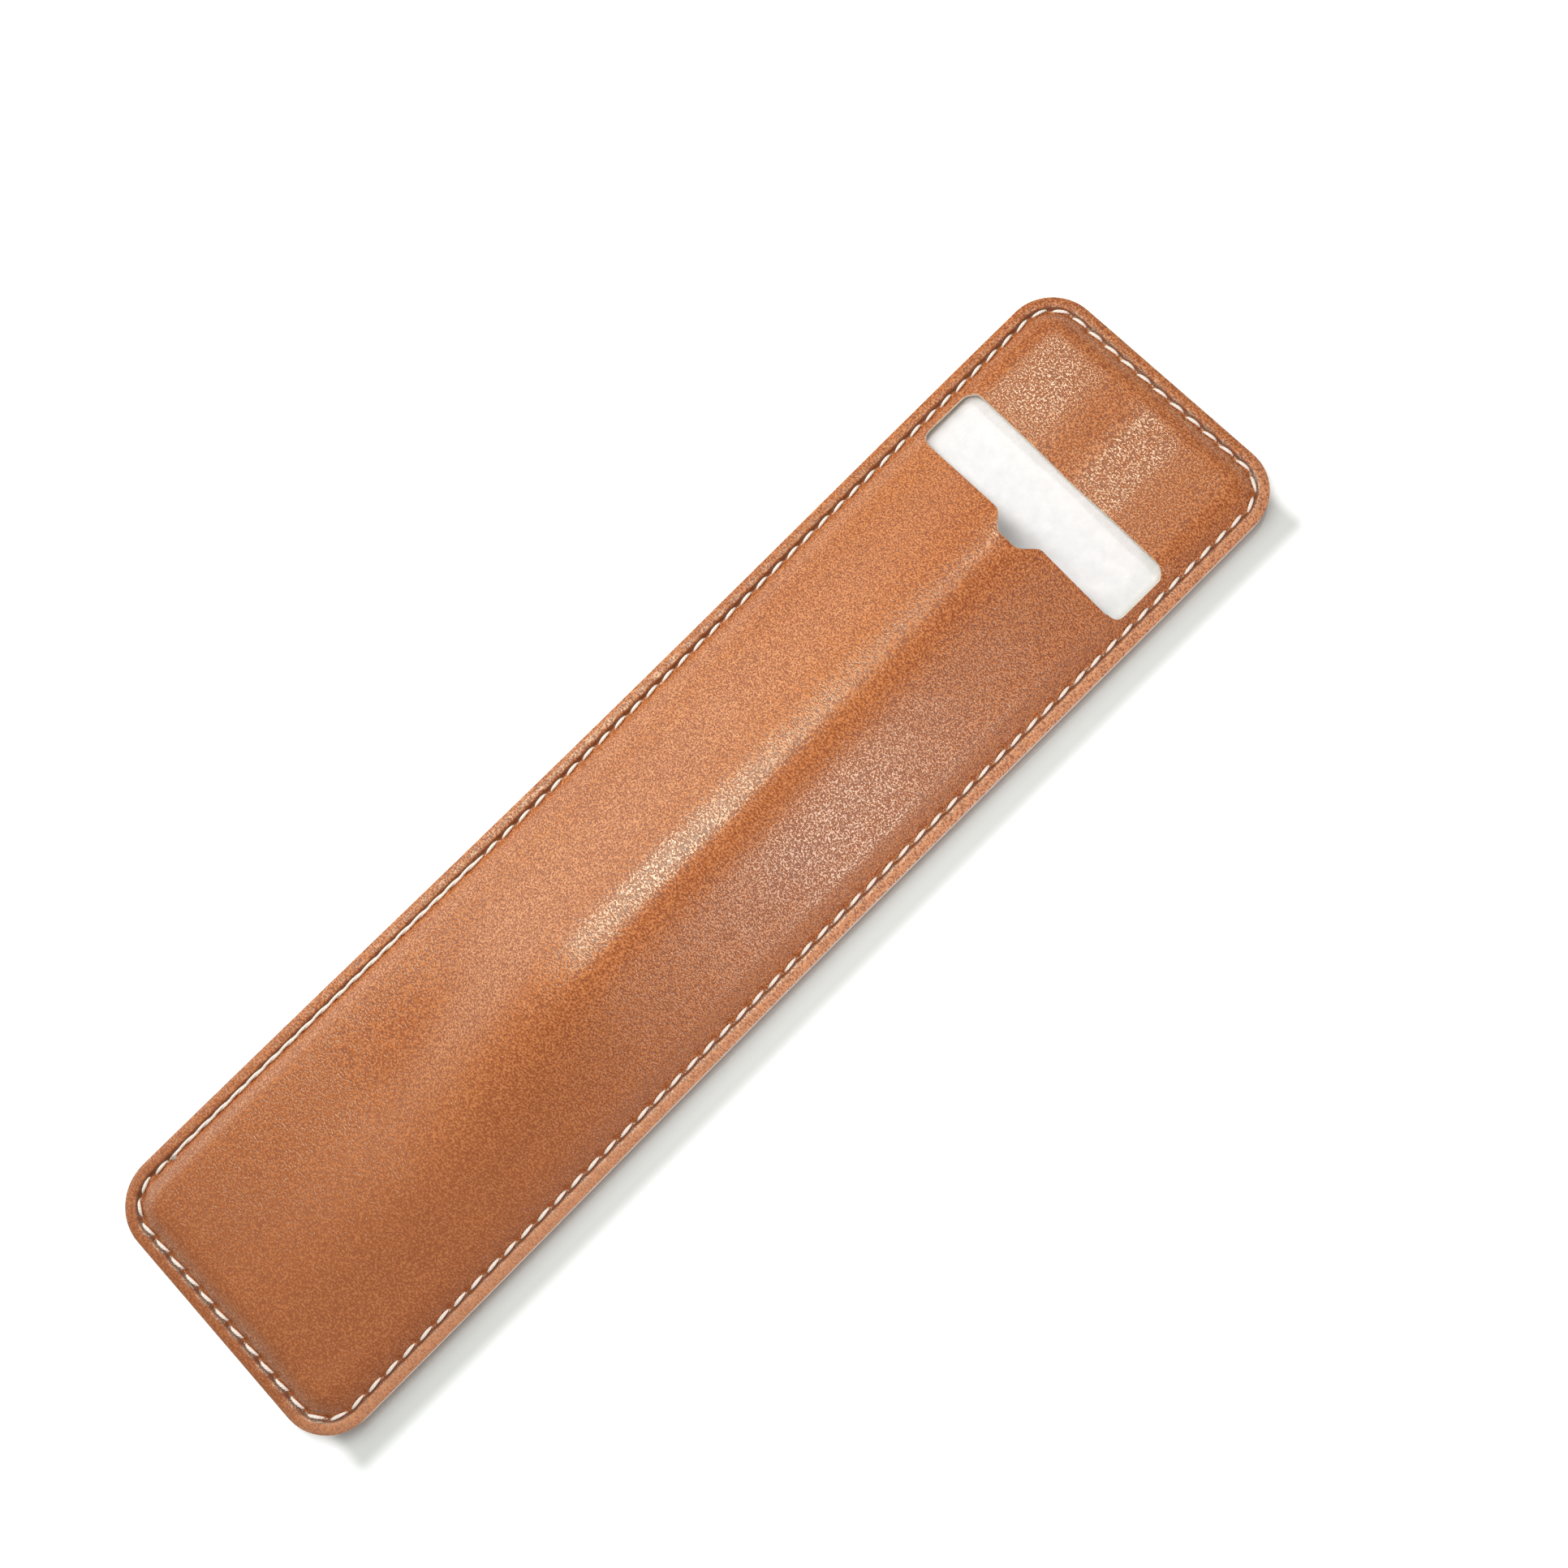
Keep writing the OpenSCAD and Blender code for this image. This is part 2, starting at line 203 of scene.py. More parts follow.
netSteps = {
    "across": 0.49,           # spacing of the columns in the middle
    "along": 0.73,
    "corner": 4,              # steps of the window's corner, along each leg
    "leg": 2,                 # steps from there to the end of the case's own corner
    "backing": 2.2,           # spacing of the rows of the backing
    "plain": 1.5,             # spacing on the flat back
}
ringInsets = {
    "top": [0, 0.07, 0.18, 0.35, 0.6, 0.9, 1.15, 1.38, 1.58, 1.78, 1.98, 2.18, 2.38, 2.6, 2.85, 3.15],
    "low": [0, 1.6, 3.15],
    "lining": [0, 1.2, 2.4, 3.0, 3.3],
}


def stepped(a, b, step):
    return list(np.linspace(a, b, max(1, round(abs(b - a) / step)) + 1))[1:]


def netColumns(step):
    half = [0.0] + stepped(0, straightX, step)
    half += stepped(straightX, rimX - window["r"], (rimR - window["r"]) / netSteps["leg"])
    half += stepped(rimX - window["r"], rimX, window["r"] / netSteps["corner"])
    return np.array([-x for x in half[:0:-1]] + half)


def netRows(step):
    corner = window["r"] / netSteps["corner"]
    leg = (rimR - window["r"]) / netSteps["leg"]
    rows = [-rimY] + stepped(-rimY, -rimY + window["r"], corner)
    rows += stepped(-rimY + window["r"], -straightY, leg)
    rows += stepped(-straightY, lipY, step)
    rows += stepped(lipY, lipY + window["r"], corner)
    rows += stepped(lipY + window["r"], windowTop - window["r"], step)
    rows += stepped(windowTop - window["r"], windowTop, corner)
    rows += stepped(windowTop, straightY, step)
    rows += stepped(straightY, rimY - window["r"], leg)
    rows += stepped(rimY - window["r"], rimY, corner)
    return np.array(rows)


def rounded(x, y, halfX, halfY, r):
    # square corners of size r become round, in rings about each corner's centre
    u, v = np.abs(x) - halfX + r, np.abs(y) - halfY + r
    inCorner = (u > tiny) & (v > tiny)
    most, least = np.maximum(u, v), np.minimum(u, v)
    turn = math.pi / 4 * np.where(inCorner, least / np.where(inCorner, most, 1), 0)
    near, far = most * np.cos(turn), most * np.sin(turn)
    px = np.where(inCorner, halfX - r + np.where(u >= v, near, far), np.abs(x))
    py = np.where(inCorner, halfY - r + np.where(u >= v, far, near), np.abs(y))
    return np.sign(x) * px, np.sign(y) * py


def rimWalk(columns, rows):
    # clockwise round the rim, from the lower end of the left side, as column and row numbers
    lastX, lastY = len(columns) - 1, len(rows) - 1
    first = int(np.argmin(np.abs(rows + straightY)))
    walk = [(0, j) for j in range(first, lastY)] + [(i, lastY) for i in range(lastX)]
    walk += [(lastX, j) for j in range(lastY, 0, -1)] + [(i, 0) for i in range(lastX, 0, -1)]
    return walk + [(0, j) for j in range(first)]


def ringFrame(columns, rows, doubled):
    # for each point of a ring: the centre that it is measured from, and the way out
    walk = rimWalk(columns, rows)
    places = np.array([(columns[i], rows[j]) for i, j in walk])
    if doubled:
        middles = (places + np.roll(places, -1, axis=0)) / 2
        places = np.stack([places, middles], axis=1).reshape(-1, 2)
    x, y = places.T
    u, v = np.abs(x) - straightX, np.abs(y) - straightY
    upright = np.abs(np.abs(x) - rimX) < touching
    part = np.clip(np.where(upright, v, u) / rimR, 0, 1) * math.pi / 4
    nx = np.where(upright, np.cos(part), np.sin(part)) * np.sign(x)
    ny = np.where(upright, np.sin(part), np.cos(part)) * np.sign(y)
    cx, cy = np.clip(x, -straightX, straightX), np.clip(y, -straightY, straightY)
    return walk, cx, cy, nx, ny


def ringAt(frameOfRing, inset):
    walk, cx, cy, nx, ny = frameOfRing
    out = case["cornerR"] - inset
    return cx + nx * out, cy + ny * out


def seamPhase(frameOfRing):
    # run of the seam at each point of a ring, counted in stitches
    x, y = ringAt(frameOfRing, seam["inset"])
    step = np.hypot(np.roll(x, -1) - x, np.roll(y, -1) - y)
    run = np.concatenate([[0], np.cumsum(step)])
    count = round(run[-1] / seam["pitch"])
    return run / run[-1] * count


def ringFaces(phase, rings, netAt, times):
    # faces from ring to ring, and from the last ring to the rim of the net
    n = len(phase) - 1
    faces, runs = [], []
    for k in range(rings - 1):
        for t in range(n):
            b = (t + 1) % n
            faces.append((k * n + t, (k + 1) * n + t, (k + 1) * n + b, k * n + b))
            runs.append((phase[t], phase[t], phase[t + 1], phase[t + 1]))
    last = (rings - 1) * n
    for t in range(len(netAt)):
        outer = [last + (times * t + s) % n for s in range(times, -1, -1)]
        faces.append((netAt[t], netAt[(t + 1) % len(netAt)], *outer))
        runs.append((phase[times * t],) * len(faces[-1]))
    return faces, runs


def windowLoop(first, wide, row0, row1):
    # the net's points round the window
    hole = [(0, j) for j in range(row0, row1)] + [(i, row1) for i in range(wide - 1)]
    hole += [(wide - 1, j) for j in range(row1, row0, -1)]
    hole += [(i, row0) for i in range(wide - 1, 0, -1)]
    return [first + j * wide + i for i, j in hole]


def layOut(columns, rows, insets, withWindow=True, doubled=True):
    # plan of one face: rings from the edge inwards, then the net, with the faces between them
    rings = ringFrame(columns, rows, doubled)
    phase = seamPhase(rings)
    n = len(phase) - 1
    netX, netY = np.meshgrid(columns, rows)
    x, y = rounded(netX, netY, rimX, rimY, rimR)
    inset = insetAt(x, y)
    row0, row1 = [int(np.argmin(np.abs(rows - at))) for at in (lipY, windowTop)]
    if withWindow:
        middle = (lipY + windowTop) / 2
        cornerX, cornerY = rounded(netX, netY - middle, window["w"] / 2, window["h"] / 2, window["r"])
        onEdge = np.zeros(netX.shape, bool)
        onEdge[row0:row1 + 1, [0, -1]] = True
        onEdge[[row0, row1], :] = True
        x = np.where(onEdge, cornerX, x)
        y = np.where(onEdge, cornerY + middle, y)
    ringPlaces = [ringAt(rings, at) for at in insets]
    x = np.concatenate([p[0] for p in ringPlaces] + [x.ravel()])
    y = np.concatenate([p[1] for p in ringPlaces] + [y.ravel()])
    inset = np.concatenate([np.full(n, float(at)) for at in insets] + [inset.ravel()])
    phases = np.concatenate([np.tile(phase[:-1], len(insets)), np.zeros(netX.size)])
    if withWindow:
        y = leaned(x, y)
    first, wide = len(insets) * n, len(columns)
    netAt = [first + j * wide + i for i, j in rings[0]]
    faces, runs = ringFaces(phase, len(insets), netAt, 2 if doubled else 1)
    for j in range(len(rows) - 1):
        if withWindow and row0 <= j < row1:
            continue
        for i in range(wide - 1):
            a = first + j * wide + i
            faces.append((a, a + 1, a + wide + 1, a + wide))
            runs.append((0, 0, 0, 0))
    hole = windowLoop(first, wide, row0, row1) if withWindow else []
    return {"x": x, "y": y, "inset": inset, "phase": phases, "inRings": np.arange(len(x)) < first,
            "faces": faces, "runs": runs, "edge": list(range(n)), "hole": hole}


def cutLeaned(face):
    # the window's cut leans in or out, by the side that it faces
    x, y, loop = face["x"].copy(), face["y"].copy(), np.array(face["hole"])
    along = np.stack([np.roll(v[loop], -1) - np.roll(v[loop], 1) for v in (x, y)])
    along /= np.hypot(*along)
    facing = window["bevelFacing"][0] * along[0] + window["bevelFacing"][1] * along[1]
    lean = np.interp(facing, (-window["bevelBlend"], window["bevelBlend"]), window["bevel"])
    x[loop] -= along[1] * lean
    y[loop] += along[0] * lean
    return dict(face, x=x, y=y)


def onlySelect(*pieces):
    bpy.ops.object.select_all(action="DESELECT")
    for piece in pieces:
        piece.select_set(True)
    bpy.context.view_layer.objects.active = pieces[0]


def faceOutwards():
    bpy.ops.mesh.select_all(action="SELECT")
    bpy.ops.mesh.normals_make_consistent(inside=False)
    bpy.ops.object.mode_set(mode="OBJECT")


def sheetObject(name, lower, upper, lowerZ, upperZ, materials):
    # joins a lower and an upper face at the edge and in the window. Materials: face, cut, back.
    count = len(lower["x"])
    faces = [f[::-1] for f in lower["faces"]]
    uvs = [[(p, lower["inset"][v]) for p, v in zip(run[::-1], f)] for f, run in zip(faces, lower["runs"])]
    marks = [2] * len(faces)
    for f, run in zip(upper["faces"], upper["runs"]):
        faces.append(tuple(v + count for v in f))
        uvs.append([(p, upper["inset"][v]) for p, v in zip(run, f)])
        marks.append(0)
    for loopName in ("edge", "hole"):
        below, above = lower[loopName], upper[loopName]
        for t in range(len(below)):
            s = (t + 1) % len(below)
            quad = (below[t], above[t] + count, above[s] + count, below[s])
            faces.append(quad[::-1] if loopName == "edge" else quad)
            uvs.append([(0, 0)] * 4)
            marks.append(1)
    points = np.concatenate([
        np.stack([drawnIn(face["x"], face["y"]), face["y"], height(face)], axis=1)
        for face, height in ((lower, lowerZ), (upper, upperZ))
    ]) * mm
    used = np.unique([v for f in faces for v in f])
    renumber = np.zeros(len(points), int)
    renumber[used] = np.arange(len(used))
    mesh = bpy.data.meshes.new(name)
    mesh.from_pydata(points[used].tolist(), [], [[int(renumber[v]) for v in f] for f in faces])
    mesh.uv_layers.new(name="seamMap").data.foreach_set("uv", [c for f in uvs for uv in f for c in uv])
    for material in materials:
        mesh.materials.append(material)
    mesh.polygons.foreach_set("material_index", [min(m, len(materials) - 1) for m in marks])
    mesh.update()
    piece = bpy.data.objects.new(name, mesh)
    bpy.context.collection.objects.link(piece)
    onlySelect(piece)
    bpy.ops.object.mode_set(mode="EDIT")
    faceOutwards()
    bpy.ops.object.shade_smooth_by_angle(angle=relief["smoothAngle"])
    return piece


# Relief of the leather: rounded edge, channel, stitch holes and slight unevenness

relief = {
    "edgeDrop": 0.36,
    "edgeRun": 1.2,
    "edgeRoundness": 2.2,
    "channelHalf": 0.62,
    "channelSteepness": 1.25,
    "holeH": 0.24,
    "holeR": 0.4,
    "holeTwice": 0.4,         # share of a hole's depth that shows where it is sewn twice
    "beadH": 0.05,            # the leather swells a little between the holes
    "beadAt": 1.1,
    "beadHalf": 0.4,
    "unevenH": 0.09,
    "unevenStep": 11,
    "unevenFrom": 2.6,        # inset at which the unevenness starts, and its run
    "unevenRun": 3,
    "fineH": 0.03,
    "fineStep": 2.6,
    "fineAtEdge": 0.4,
    "cutDrop": 0.06,
    "smoothAngle": math.radians(55),
}
front = {
    "channelH": 0.33,
    "seed": 1.5,
    "fineSeed": 6.5,
}
lining = {
    "stepFrom": 3,            # inset at which it climbs onto the board, and the run of that step
    "stepRun": 1.2,
    "softH": 0.05,
    "softStep": 6,
    "softRun": 2,
    "seed": 9.5,
}
back = {
    "channelH": 0.48,
    "reliefShare": 0.9,
    "softH": 0.02,
    "softStep": 7,
    "seed": 3.5,
}


def threadOffset(phase, turn):
    # how far the thread lies outside the seam line, as it crosses from hole to hole
    most = math.tan(math.radians(turn)) * seam["stitchL"] / 2
    return np.interp(np.mod(phase, 1), [0, seam["pull"], 1 - seam["pull"], 1], [0, -most, most, 0])


def sewnTwice(phase):
    begin = (seam["start"] - case["cornerR"]) / seam["pitch"]
    return (phase > begin) & (phase < begin + seam["twice"] / seam["pitch"])


def unevenAt(face, step, seed):
    places = zip(face["x"] / step, face["y"] / step)
    return np.array([noise.noise(Vector((x, y, seed))) for x, y in places])


def seamRelief(face, turn, depth):
    inset, phase = face["inset"], face["phase"]
    twice = sewnTwice(phase)
    across = inset - seam["inset"] + threadOffset(phase, turn) * np.where(twice, seam["twiceTurn"], 1)
    channel = eased(relief["channelSteepness"] * (1 - np.abs(across) / relief["channelHalf"]))
    along = (np.mod(phase + 0.5, 1) - 0.5) * seam["pitch"]
    hole = np.exp(-(along ** 2 + across ** 2) / relief["holeR"] ** 2)
    hole = hole * np.where(twice, relief["holeTwice"], 1)
    bead = np.cos(2 * math.pi * phase) * np.exp(-((inset - relief["beadAt"]) / relief["beadHalf"]) ** 2)
    edge = np.clip(1 - inset / relief["edgeRun"], 0, 1) ** relief["edgeRoundness"]
    sunk = depth * channel + relief["holeH"] * hole + relief["beadH"] * bead + relief["edgeDrop"] * edge
    return np.where(face["inRings"], sunk, 0)


def unevenness(face):
    inner = eased((face["inset"] - relief["unevenFrom"]) / relief["unevenRun"])
    broad = unevenAt(face, relief["unevenStep"], front["seed"]) * relief["unevenH"] * inner
    least = relief["fineAtEdge"]
    fine = unevenAt(face, relief["fineStep"], front["fineSeed"]) * relief["fineH"]
    return broad + fine * (least + (1 - least) * inner)


def frontUnderZ(face):
    return layers["flangeZ"] + riseAt(face["x"], face["y"], face["inset"])


def frontBackingZ(face):
    return frontUnderZ(face) + layers["backingT"] - clearance


def frontLeatherUnderZ(face):
    return frontUnderZ(face) + layers["backingT"]


def frontLeatherZ(face):
    z = frontLeatherUnderZ(face) + layers["leatherT"]
    z = z - seamRelief(face, seam["turn"], front["channelH"]) + unevenness(face)
    z[face["hole"]] -= relief["cutDrop"]
    return np.minimum(z, layers["crestTop"])


def liningZ(face):
    past = face["inset"] - lining["stepFrom"]
    raised = eased(past / lining["stepRun"]) * layers["boardT"]
    soft = unevenAt(face, lining["softStep"], lining["seed"]) * lining["softH"]
    return layers["flangeZ"] - clearance + raised + soft * eased(past / lining["softRun"])


def liningUnderZ(face):
    return np.full(len(face["x"]), layers["leatherT"] + clearance)


def backUnderZ(face):
    soft = back["softH"] * (1 + unevenAt(face, back["softStep"], back["seed"]))
    return np.maximum(seamRelief(face, 0, back["channelH"]) * back["reliefShare"] + soft, 0)


def backOverZ(face):
    return np.full(len(face["x"]), layers["leatherT"])


# Shader parts: an effect that several materials use is a group of its own

class NodeDesk:
    # lays out and links the nodes of one tree

    def __init__(self, tree):
        self.tree = tree

    def add(self, kind, place, **values):
        node = self.tree.nodes.new(kind)
        node.location = place
        for key, value in values.items():
            if hasattr(node, key) and not key[0].isupper():
                setattr(node, key, value)
            else:
                node.inputs[key.replace("_", " ")].default_value = value
        return node

    def link(self, source, socket):
        self.tree.links.new(source, socket)

    def feed(self, socket, value):
        # a socket takes a plain number or colour, or another node's output
        if isinstance(value, (int, float, tuple)):
            socket.default_value = value
        else:
            self.link(value, socket)

    def ramp(self, place, value, ends=(0, 1), to=(0, 1), smooth=False):
        node = self.add("ShaderNodeMapRange", place, From_Min=ends[0], From_Max=ends[1],
                        To_Min=to[0], To_Max=to[1])
        if smooth:
            node.interpolation_type = "SMOOTHSTEP"
        self.link(value, node.inputs["Value"])
        return node.outputs["Result"]

    def reckon(self, place, operation, *terms):
        node = self.add("ShaderNodeMath", place, operation=operation)
        for socket, term in zip(node.inputs, terms):
            self.feed(socket, term)
        return node.outputs[0]

    def vector(self, place, operation, *terms):
        node = self.add("ShaderNodeVectorMath", place, operation=operation)
        for socket, term in zip(node.inputs, terms):
            self.feed(socket, term)
        return node

    def mixed(self, place, share, first, second):
        # a Mix node's colour sockets are 0, 6 and 7, and its colour output is 2
        node = self.add("ShaderNodeMix", place, data_type="RGBA")
        for socket, value in ((0, share), (6, first), (7, second)):
            self.feed(node.inputs[socket], value)
        return node.outputs[2]

    def group(self, place, tree, vector, **values):
        node = self.add("ShaderNodeGroup", place, node_tree=tree)
        self.link(vector, node.inputs["Vector"])
        for key, value in values.items():
            node.inputs[key].default_value = value
        return node

    def bump(self, place, height, shader, strength, distance):
        node = self.add("ShaderNodeBump", place, Strength=strength, Distance=distance)
        self.link(height, node.inputs["Height"])
        self.link(node.outputs["Normal"], shader.inputs["Normal"])


def newMaterial(name, shown):
    material = bpy.data.materials.new(name)
    material.use_nodes = True
    material.diffuse_color = shown
    shader = next(n for n in material.node_tree.nodes if n.type == "BSDF_PRINCIPLED")
    return material, shader, NodeDesk(material.node_tree)


def srgb(r, g, b):
    def linear(c):
        c /= 255
        return c / 12.92 if c <= 0.04045 else ((c + 0.055) / 1.055) ** 2.4
    return (linear(r), linear(g), linear(b), 1)


def newGroup(name, inputs, outputs):
    tree = bpy.data.node_groups.new(name, "ShaderNodeTree")
    for label, kind in inputs:
        tree.interface.new_socket(label, in_out="INPUT", socket_type=kind)
    for label, kind in outputs:
        tree.interface.new_socket(label, in_out="OUTPUT", socket_type=kind)
    desk = NodeDesk(tree)
    return tree, desk.add("NodeGroupInput", (-900, 0)), desk.add("NodeGroupOutput", (900, 0)), desk


mottleLook = {
    "detail": 4,
    "roughness": 0.55,
    "spread": (0.3, 0.7),     # values of the noise that become the dark and the light tone
}


def mottleGroup():
    # slow, soft change of tone, as in hide and cloth
    tree, given, result, desk = newGroup(
        "softMottle",
        [("Vector", "NodeSocketVector"), ("Scale", "NodeSocketFloat"),
         ("Dark", "NodeSocketColor"), ("Light", "NodeSocketColor")],
        [("Color", "NodeSocketColor")])
    slow = desk.add("ShaderNodeTexNoise", (-600, 100), Detail=mottleLook["detail"],
                    Roughness=mottleLook["roughness"])
    desk.link(given.outputs["Vector"], slow.inputs["Vector"])
    desk.link(given.outputs["Scale"], slow.inputs["Scale"])
    share = desk.ramp((-300, 100), slow.outputs["Fac"], mottleLook["spread"])
    tone = desk.mixed((0, 0), share, given.outputs["Dark"], given.outputs["Light"])
    desk.link(tone, result.inputs["Color"])
    return tree


fibreLook = {
    # turn and stretch of each lay of fibres
    "lays": ((0.5, (1, 0.22, 1)), (-0.8, (0.25, 1, 1)), (1.9, (1, 0.3, 1))),
    "detail": 2,
    "roughness": 0.6,
    "hollow": (0.45, 0.65),   # heights between which the painted shade in a hollow fades out
    "hollowShare": 0.45,
    "bump": 0.7,
    "sheenRoughness": 0.5,
}


def fibreGroup():
    # short crossed fibres, as on cloth, brushed lining and a cut edge
    tree, given, result, desk = newGroup(
        "shortFibres",
        [("Vector", "NodeSocketVector"), ("Scale", "NodeSocketFloat")],
        [("Height", "NodeSocketFloat")])
    heights = []
    for k, (turn, stretch) in enumerate(fibreLook["lays"]):
        level = 250 - 250 * k
        place = desk.add("ShaderNodeMapping", (-650, level), Rotation=(0, 0, turn))
        place.inputs["Scale"].default_value = stretch
        strands = desk.add("ShaderNodeTexNoise", (-400, level), Detail=fibreLook["detail"],
                           Roughness=fibreLook["roughness"])
        desk.link(given.outputs["Vector"], place.inputs["Vector"])
        desk.link(place.outputs["Vector"], strands.inputs["Vector"])
        desk.link(given.outputs["Scale"], strands.inputs["Scale"])
        heights.append(strands.outputs["Fac"])
    highest = desk.reckon((-100, 100), "MAXIMUM", heights[0], heights[1])
    desk.link(desk.reckon((150, 0), "MAXIMUM", highest, heights[2]), result.inputs["Height"])
    return tree


grainLook = {
    "turn": 0.15,
    "stretch": (0.7, 1, 1),   # the islands are longer across the case
    "distortion": 0.25,
    "fineScale": 2.3,
    "fineShare": 0.3,
    "island": (0.28, 0.66),   # values of the noise between which an island rises
    "valley": (0.54, 0.3),    # between which its valley gets painted shade
    "top": (0.5, 0.7),        # and between which its top gets a painted glint
}


def grainGroup():
    # pebbled grain: worm-like raised islands with valleys between them
    tree, given, result, desk = newGroup(
        "hideGrain",
        [("Vector", "NodeSocketVector"), ("Scale", "NodeSocketFloat")],
        [("Height", "NodeSocketFloat"), ("Valley", "NodeSocketFloat"), ("Top", "NodeSocketFloat")])
    place = desk.add("ShaderNodeMapping", (-1100, 0), Rotation=(0, 0, grainLook["turn"]))
    place.inputs["Scale"].default_value = grainLook["stretch"]
    scaled = desk.add("ShaderNodeVectorMath", (-900, 0), operation="SCALE")
    worms = desk.add("ShaderNodeTexNoise", (-600, 200), Scale=1, Detail=0,
                     Distortion=grainLook["distortion"])
    fine = desk.add("ShaderNodeTexNoise", (-600, -100), Scale=grainLook["fineScale"], Detail=0)
    desk.link(given.outputs["Vector"], place.inputs["Vector"])
    desk.link(place.outputs["Vector"], scaled.inputs[0])
    desk.link(given.outputs["Scale"], scaled.inputs["Scale"])
    for texture in (worms, fine):
        desk.link(scaled.outputs[0], texture.inputs["Vector"])
    form = worms.outputs["Fac"]
    islands = desk.ramp((-300, 200), form, grainLook["island"], smooth=True)
    small = desk.reckon((-300, -100), "MULTIPLY", fine.outputs["Fac"], grainLook["fineShare"])
    desk.link(desk.reckon((0, 50), "ADD", islands, small), result.inputs["Height"])
    desk.link(desk.ramp((0, -200), form, grainLook["valley"], smooth=True), result.inputs["Valley"])
    desk.link(desk.ramp((0, -450), form, grainLook["top"], smooth=True), result.inputs["Top"])
    return tree


mottle, fibres, grain = mottleGroup(), fibreGroup(), grainGroup()

leatherLook = {
    "dark": srgb(184, 102, 48),
    "light": srgb(195, 113, 54),
    # painted shade for the valleys of the grain
    "valleyShade": srgb(126, 46, 6),
    # painted glints on the tops of the grain
    "top": srgb(245, 166, 108),
    # painted sheen on the right-hand margin
    "marginSheen": srgb(238, 178, 136),
    # painted shade towards the closed end and right of the ridge
    "falloffShade": srgb(170, 96, 52),
    # painted shade in the stitch channel
    "channel": srgb(108, 54, 30),
    "toneScale": 55,
    "grainScale": 5000,
    "grainDepth": 0.00002,
    "valleyShadeShare": 0.68,
    "valleyShadeCalm": -0.42,      # the painted grain shade and glints are calmer under the painted shade of the closed end
    "paintedGlintShare": 0.5,
    "paintedGlintCalm": -0.28,
    "falloffSlant": (1.2, -1, 0),
    "falloffRun": (0.022, 0.065),
    "falloffShare": 0.8,
    "marginSheenRun": (0.012, 0.02),
    "marginSheenGain": 4.8,
    "marginRun": (1.9, 1.4),  # insets between which the margin gets duller
    "marginDull": 0.1,
    "channelShadeAt": seam["inset"] - 0.33,
    "channelShadeRun": (0.34, 0.12),
    "channelShadeShare": 0.8,
    "roughness": (0.22, 0.42),
    "specular": 0.75,
    "tint": (0.55, 1, 0.9, 1),
}


def tanLeather():
    look = leatherLook
    material, shader, desk = newMaterial("tanLeather", look["light"])
    spot = desk.add("ShaderNodeTexCoord", (-1800, 0)).outputs["Object"]
    tone = desk.group((-1200, 400), mottle, spot, Scale=look["toneScale"],
                      Dark=look["dark"], Light=look["light"])
    hide = desk.group((-1400, -100), grain, spot, Scale=look["grainScale"])
    # top is the mask of the painted glints on the grain
    valley, top = hide.outputs["Valley"], hide.outputs["Top"]
    seamMap = desk.add("ShaderNodeUVMap", (-1800, -600), uv_map="seamMap")
    parts = desk.add("ShaderNodeSeparateXYZ", (-1600, -600))
    desk.link(seamMap.outputs["UV"], parts.inputs[0])
    inset = parts.outputs["Y"]
    margin = desk.ramp((-800, -150), inset, look["marginRun"], (0, look["marginDull"]))

    # painted shade: the leather is painted darker and browner towards the closed end and right of the
    # ridge, away from the lamps
    slant = desk.vector((-1500, 700), "DOT_PRODUCT", spot, look["falloffSlant"]).outputs["Value"]
    falloff = desk.ramp((-1300, 700), slant, look["falloffRun"], (0, look["falloffShare"]))
    colour = desk.mixed((-1000, 600), falloff, tone.outputs["Color"], look["falloffShade"])

    # painted sheen: the margin on the right is painted lighter, where light catches it
    across = desk.add("ShaderNodeSeparateXYZ", (-1500, 950))
    desk.link(spot, across.inputs[0])
    side = desk.ramp((-1300, 950), across.outputs["X"], look["marginSheenRun"], (0, look["marginSheenGain"]))
    sheenShare = desk.reckon((-1100, 850), "MULTIPLY", side, margin)
    colour = desk.mixed((-900, 750), sheenShare, colour, look["marginSheen"])

    # painted shade in the valleys of the grain, and painted glints on its tops
    for mask, share, calm, shade, level in ((valley, "valleyShadeShare", "valleyShadeCalm", "valleyShade", 100),
                                            (top, "paintedGlintShare", "paintedGlintCalm", "top", 550)):
        most = desk.reckon((-1200, level), "MULTIPLY_ADD", falloff, look[calm], look[share])
        amount = desk.reckon((-1050, level), "MULTIPLY", mask, most)
        colour = desk.mixed((-800, level), amount, colour, look[shade])

    # painted shade: the stitch channel is painted darker, as the shade that falls in it
    off = desk.reckon((-1400, -500), "SUBTRACT", inset, look["channelShadeAt"])
    wide = desk.reckon((-1200, -500), "ABSOLUTE", off)
    channelShade = desk.ramp((-1000, -500), wide, look["channelShadeRun"], (0, look["channelShadeShare"]))
    colour = desk.mixed((-500, 300), channelShade, colour, look["channel"])
    desk.link(colour, shader.inputs["Base Color"])

    rough = desk.ramp((-500, 0), valley, to=look["roughness"])
    desk.link(desk.reckon((-250, 0), "ADD", rough, margin), shader.inputs["Roughness"])
    desk.bump((-300, -300), hide.outputs["Height"], shader, 1, look["grainDepth"])
    shader.inputs["Specular IOR Level"].default_value = look["specular"]
    shader.inputs["Specular Tint"].default_value = look["tint"]
    return material


